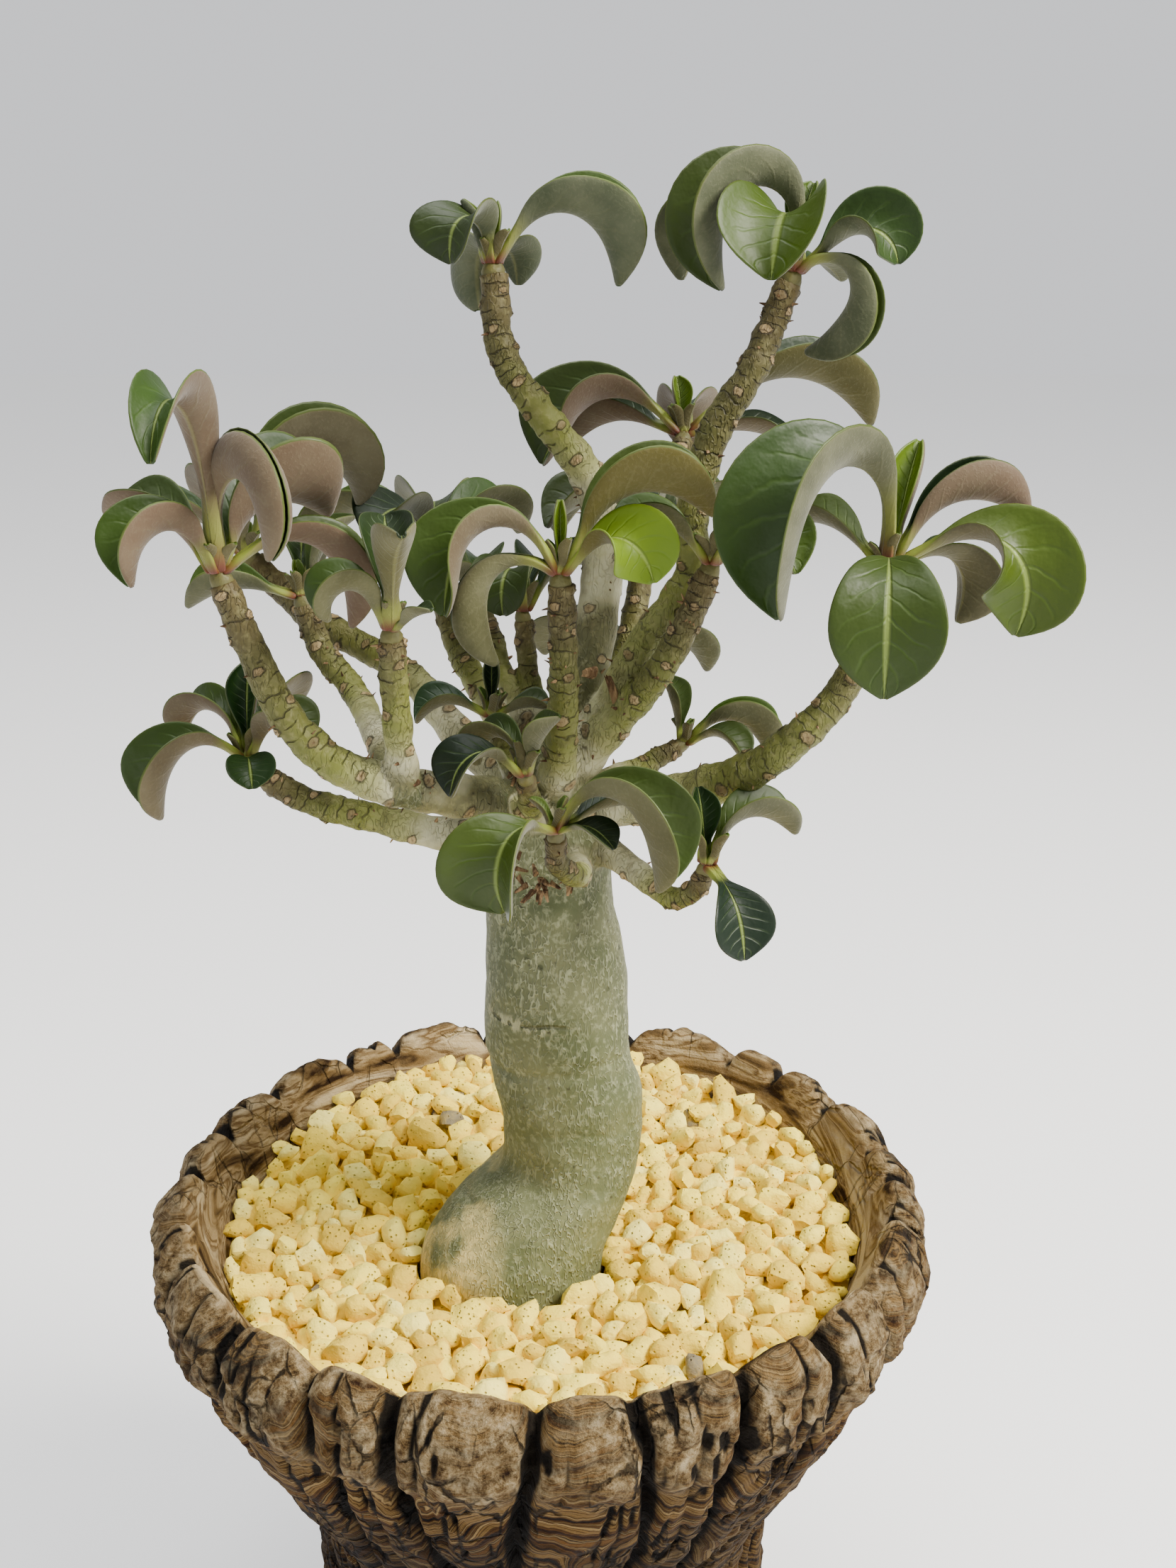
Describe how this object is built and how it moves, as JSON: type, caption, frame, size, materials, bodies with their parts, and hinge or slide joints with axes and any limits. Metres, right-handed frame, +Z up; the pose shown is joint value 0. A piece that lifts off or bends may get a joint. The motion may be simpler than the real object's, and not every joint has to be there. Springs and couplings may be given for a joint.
{
  "type": "potted desert rose",
  "caption": "Desert rose (adenium) with a thick trunk, spreading branches and hooked leaf rosettes, in a flared pot of bark-like layered clay topped with pale gravel.",
  "frame": {"origin": "centre of the pot's flat underside, which is the resting face", "axes": "+Z up along the pot's axis, +X to the viewer's right and +Y away from the viewer, as the picture shows it"},
  "size_m": [0.1931, 0.1689, 0.3668],
  "materials": {
    "clay": "rough unglazed clay in brown, tan and grey layers",
    "soil": "dark gritty potting soil",
    "gravel": "matt cream-yellow pumice",
    "bark": "grey-green living bark, slightly waxy",
    "leaf": "glossy dark green above, velvety taupe below"
  },
  "bodies": {
    "root": {"pot": "clay", "soil": "soil", "gravel": "gravel", "stems": "bark", "leaves_a": "leaf", "leaves_b": "leaf", "leaves_c": "leaf", "leaves_e": "leaf", "leaves_f": "leaf", "leaves_g": "leaf", "leaves_h": "leaf", "leaves_i": "leaf", "leaves_j": "leaf", "leaves_k": "leaf", "leaves_l": "leaf", "leaves_m": "leaf", "leaves_n": "leaf", "leaves_o": "leaf", "leaves_p": "leaf", "leaves_q": "leaf", "leaves_r": "leaf", "leaves_s": "leaf", "leaves_u": "leaf", "leaves_v": "leaf", "leaves_w": "leaf"}
  },
  "joints": []
}
